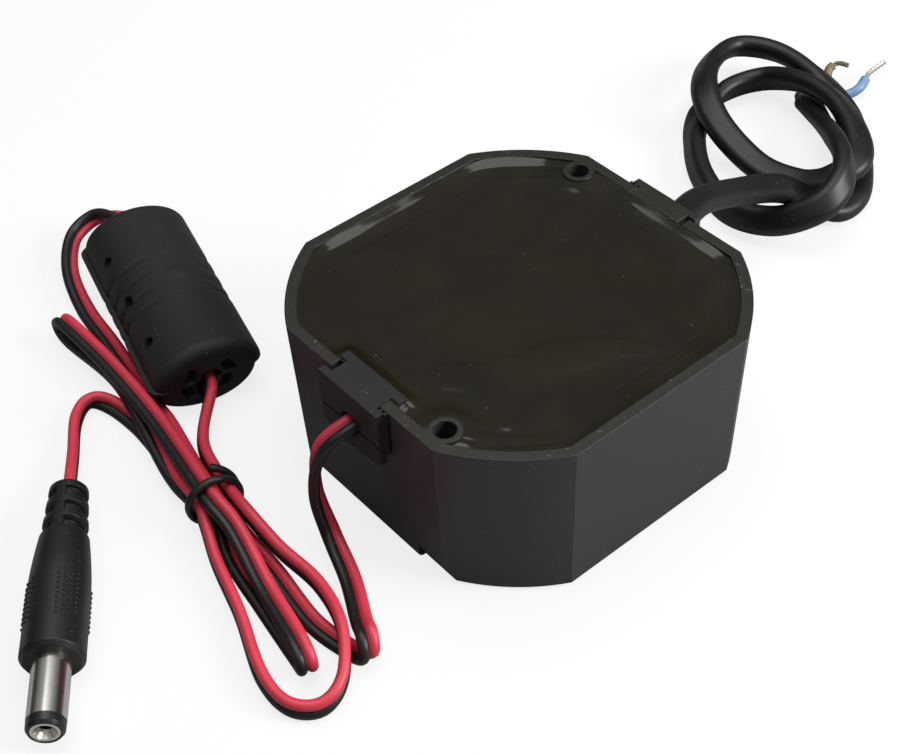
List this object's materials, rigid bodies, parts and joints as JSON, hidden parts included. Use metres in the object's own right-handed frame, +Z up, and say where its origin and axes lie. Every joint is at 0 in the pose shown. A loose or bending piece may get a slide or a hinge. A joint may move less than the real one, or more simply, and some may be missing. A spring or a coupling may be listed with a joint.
{
  "type": "dc power supply",
  "caption": "Potted flush-mount supply in an octagonal round-cornered box, with a flat mains lead and a tied DC lead with a ferrite choke and barrel plug.",
  "frame": {"origin": "centre of the underside of the box, on the surface that it stands on", "axes": "+Z up through the open, potted face; +X through the wall where the mains lead leaves; the DC lead leaves through the -X wall"},
  "size_m": [0.2079, 0.118, 0.0282],
  "materials": {
    "case": "fine moulded texture, satin",
    "resin": "glossy cast surface",
    "entry_plastic": "smooth satin",
    "board": "lacquered",
    "ferrite": "dull ground grey",
    "bobbin": "matte",
    "tape": "polyester tape",
    "copper": "enamelled copper",
    "can_blue": "shrunk sleeve",
    "can_grey": "shrunk sleeve",
    "capacitor_yellow": "smooth box",
    "ceramic_blue": "dipped lacquer",
    "package": "moulded epoxy",
    "package_white": "moulded epoxy",
    "resistor_green": "lacquer",
    "choke_plastic": "satin with a faint grain",
    "plug_plastic": "satin with small grip dots",
    "tip_plastic": "smooth",
    "nickel": "bright nickel plate",
    "contact_metal": "bright plate",
    "mains_sheath": "satin flexible vinyl",
    "brown_sheath": "smooth vinyl",
    "blue_sheath": "smooth vinyl",
    "tinned_copper": "bare strands",
    "dc_sheath": "smooth vinyl, one wire red and one black",
    "tie_coat": "plastic coat"
  },
  "bodies": {
    "root": {"enclosure_shell": "case", "potting_resin": "resin", "dc_entry_upper": "entry_plastic", "dc_entry_lower": "entry_plastic", "mains_entry_upper": "entry_plastic", "mains_entry_lower": "entry_plastic", "circuit_board": "board", "transformer_core_upper": "ferrite", "transformer_core_lower": "ferrite", "transformer_bobbin": "bobbin", "transformer_winding": "tape", "bulk_capacitor_a": "can_blue", "bulk_capacitor_b": "can_blue", "interference_capacitor": "capacitor_yellow", "barrier_capacitor": "ceramic_blue", "line_choke_core": "ferrite", "line_choke_winding": "copper", "bridge_rectifier": "package", "fusible_resistor": "resistor_green", "controller_chip": "package", "optocoupler": "package_white", "output_diode": "package", "output_capacitor_a": "can_grey", "output_capacitor_b": "can_grey", "output_choke_core": "ferrite", "output_choke_winding": "copper", "ferrite_case_upper": "choke_plastic", "ferrite_case_lower": "choke_plastic", "ferrite_core_upper": "ferrite", "ferrite_core_lower": "ferrite", "plug_moulding": "plug_plastic", "plug_sleeve": "nickel", "plug_insulator": "tip_plastic", "plug_contact": "contact_metal", "mains_cable": "mains_sheath", "brown_core": "brown_sheath", "blue_core": "blue_sheath", "blue_conductor": "tinned_copper", "brown_conductor": "tinned_copper", "dc_lead": "dc_sheath", "cable_tie": "tie_coat"}
  },
  "joints": []
}
